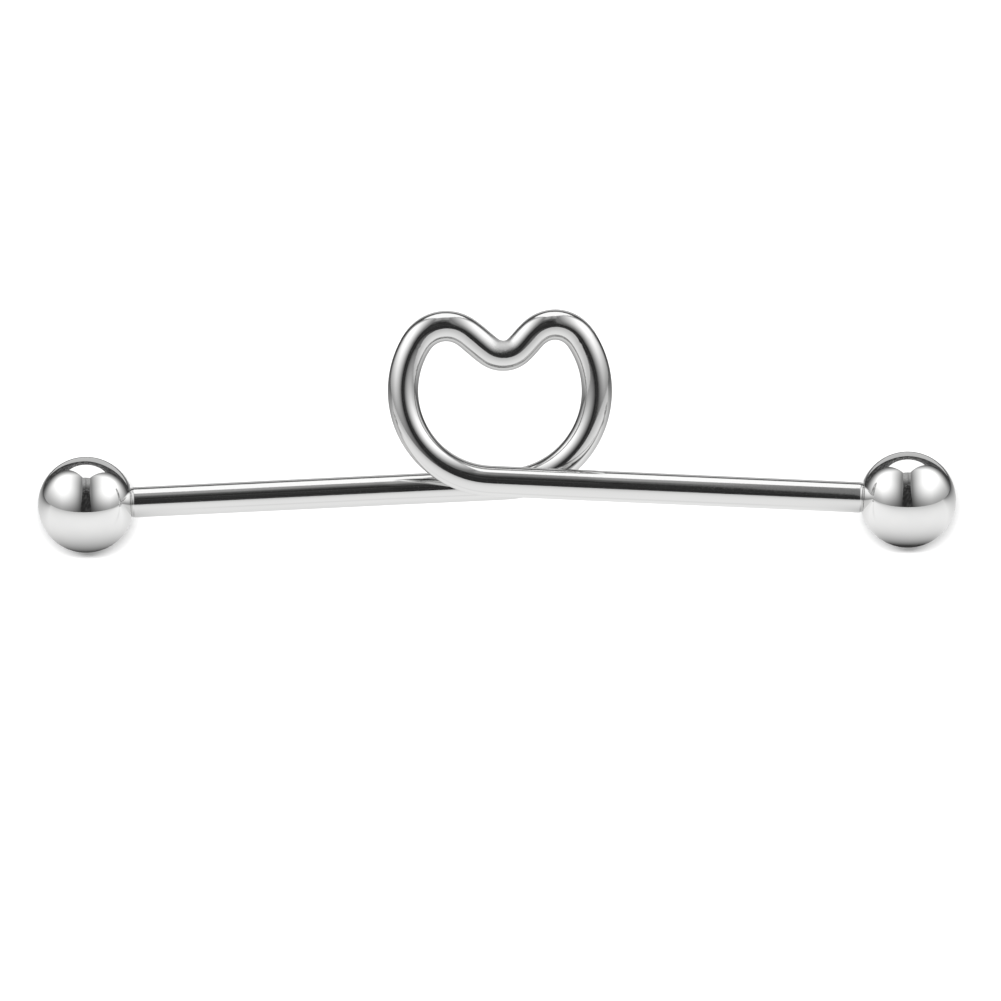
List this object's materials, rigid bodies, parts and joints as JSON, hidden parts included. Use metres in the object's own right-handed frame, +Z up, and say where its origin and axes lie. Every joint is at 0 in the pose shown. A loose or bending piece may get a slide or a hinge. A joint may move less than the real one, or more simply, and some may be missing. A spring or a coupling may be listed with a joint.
{
  "type": "industrial barbell",
  "caption": "Straight steel barbell for the ear, its wire bent into a heart-shaped loop in the middle, with a screw-on ball on each end.",
  "frame": {"origin": "on the surface that it lies on, under the middle of its box", "axes": "+X along the bar towards the right ball, +Y towards the top of the heart, +Z up, out of the side that the picture shows"},
  "size_m": [0.0478, 0.0124, 0.005],
  "materials": {
    "wire": "polished",
    "ball": "polished"
  },
  "bodies": {
    "heart_bar": {"heart_bar": "wire"},
    "ball_left": {"ball_left": "ball"},
    "ball_right": {"ball_right": "ball"}
  },
  "joints": [
    {"name": "unscrew_left", "type": "slide", "parent": "heart_bar", "child": "ball_left", "axis": [-0.9978, -0.0316, 0.0578], "range_m": [0, 0.006]},
    {"name": "unscrew_right", "type": "slide", "parent": "heart_bar", "child": "ball_right", "axis": [0.9972, -0.0597, -0.0439], "range_m": [0, 0.006]}
  ]
}
